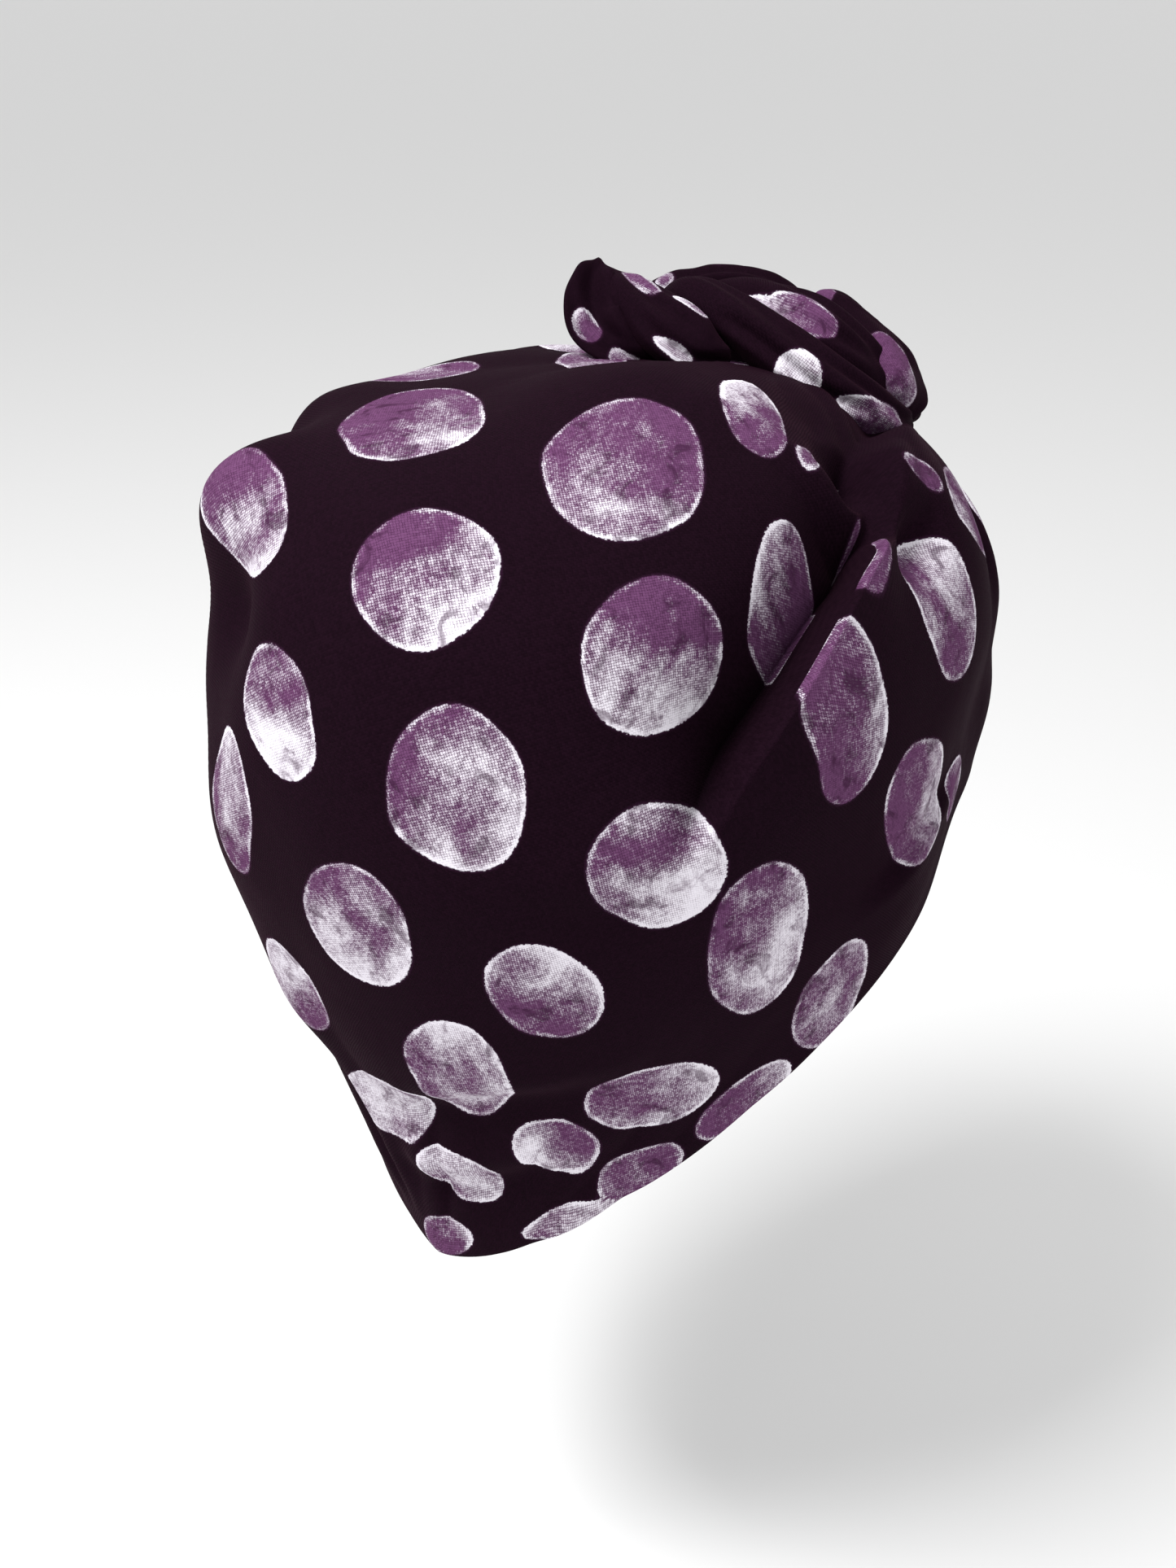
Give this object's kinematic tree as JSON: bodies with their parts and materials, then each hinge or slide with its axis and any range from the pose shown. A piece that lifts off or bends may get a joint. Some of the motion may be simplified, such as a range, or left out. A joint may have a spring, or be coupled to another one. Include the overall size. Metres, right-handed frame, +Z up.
{
  "type": "pre-tied turban",
  "caption": "Soft spotted cloth turban: a hollow cap that bags out at the back and comes down to the nape, with a wound knot on its top front.",
  "frame": {"origin": "middle of the wearer's head at brow height, inside the hollow of the cap", "axes": "+Z up, the forehead faces -Y, the wearer's right is -X"},
  "size_m": [0.1832, 0.2245, 0.2466],
  "materials": {
    "cap_cloth": "plain woven cotton, dark plum with mottled violet and white ovals",
    "knot_cloth": "the same cloth, wound and creased"
  },
  "bodies": {
    "root": {"crown": "cap_cloth", "knot_wrap": "knot_cloth", "knot_crest": "knot_cloth", "knot_strap": "knot_cloth", "knot_ear": "knot_cloth", "knot_front_lobe": "knot_cloth", "knot_far_roll": "knot_cloth", "knot_far_wrap": "knot_cloth"}
  },
  "joints": []
}
